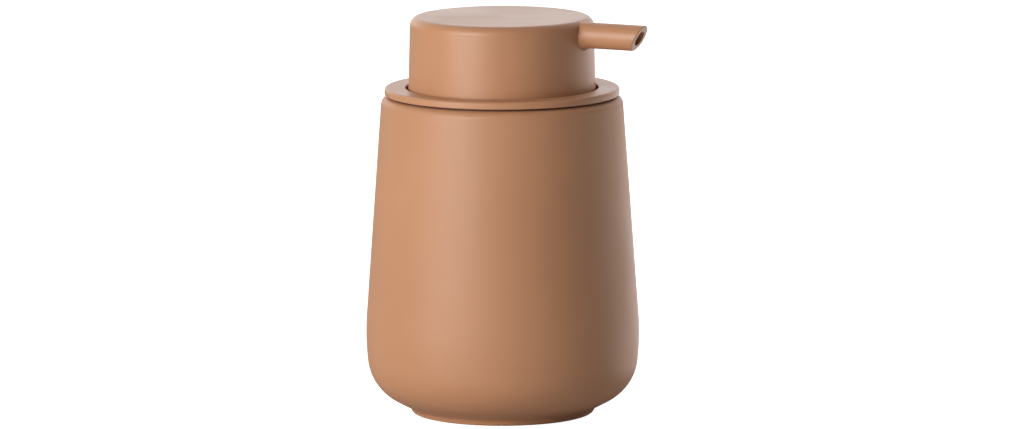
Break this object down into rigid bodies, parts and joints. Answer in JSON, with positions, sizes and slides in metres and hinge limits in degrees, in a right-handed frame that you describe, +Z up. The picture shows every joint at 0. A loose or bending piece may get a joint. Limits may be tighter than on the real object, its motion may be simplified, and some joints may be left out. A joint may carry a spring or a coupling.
{
  "type": "soap pump dispenser",
  "caption": "Squat stoneware bottle with a trim ring and a drum-shaped push head whose short straight spout gives liquid soap when the head is pressed.",
  "frame": {"origin": "centre of the foot ring's rest plane, on the bottle's axis", "axes": "+Z up along the bottle's axis, +X the way the spout points, +Y completes the right hand"},
  "size_m": [0.087, 0.0804, 0.1172],
  "materials": {
    "stoneware": "fine soft matt glaze, terracotta",
    "soft_coat": "soft-touch coating in the bottle's colour",
    "cup_plastic": "moulded, dark brown",
    "pump_plastic": "moulded, natural milky white",
    "tube_plastic": "extruded, milky",
    "silicone": "smooth silicone, dark brown",
    "steel": "bright drawn stainless steel"
  },
  "bodies": {
    "bottle": {"bottle": "stoneware"},
    "closure": {"trim_ring": "soft_coat", "well_cup": "cup_plastic", "mouth_seal": "silicone", "housing_gasket": "silicone", "pump_housing": "pump_plastic", "pump_nut": "pump_plastic", "chaplet": "pump_plastic", "stem_wiper": "silicone", "return_spring": "steel", "ball_cage": "pump_plastic", "dip_tube": "tube_plastic"},
    "plunger": {"stem": "pump_plastic", "valve_seat": "pump_plastic"},
    "sliding_piston": {"piston": "pump_plastic"},
    "check_ball": {"inlet_ball": "steel"},
    "head": {"head_shell": "soft_coat", "spout": "soft_coat", "head_core": "pump_plastic", "spout_liner": "tube_plastic"}
  },
  "joints": [
    {"name": "closure_lift", "type": "slide", "parent": "bottle", "child": "closure", "axis": [0, 0, 1], "range_m": [0, 0.095]},
    {"name": "pump_press", "type": "slide", "parent": "closure", "child": "plunger", "axis": [0, 0, -1], "range_m": [0, 0.01], "stiffness_N_per_m": 600, "springref_m": -0.01, "deforming": ["return_spring"]},
    {"name": "head_turn", "type": "hinge", "parent": "plunger", "child": "head", "pos_m": [0, 0, 0.105], "axis": [0, 0, 1], "continuous": true},
    {"name": "piston_shift", "type": "slide", "parent": "plunger", "child": "sliding_piston", "axis": [0, 0, 1], "range_m": [0, 0.001]},
    {"name": "ball_lift", "type": "slide", "parent": "closure", "child": "check_ball", "axis": [0, 0, 1], "range_m": [0, 0.0012]}
  ]
}
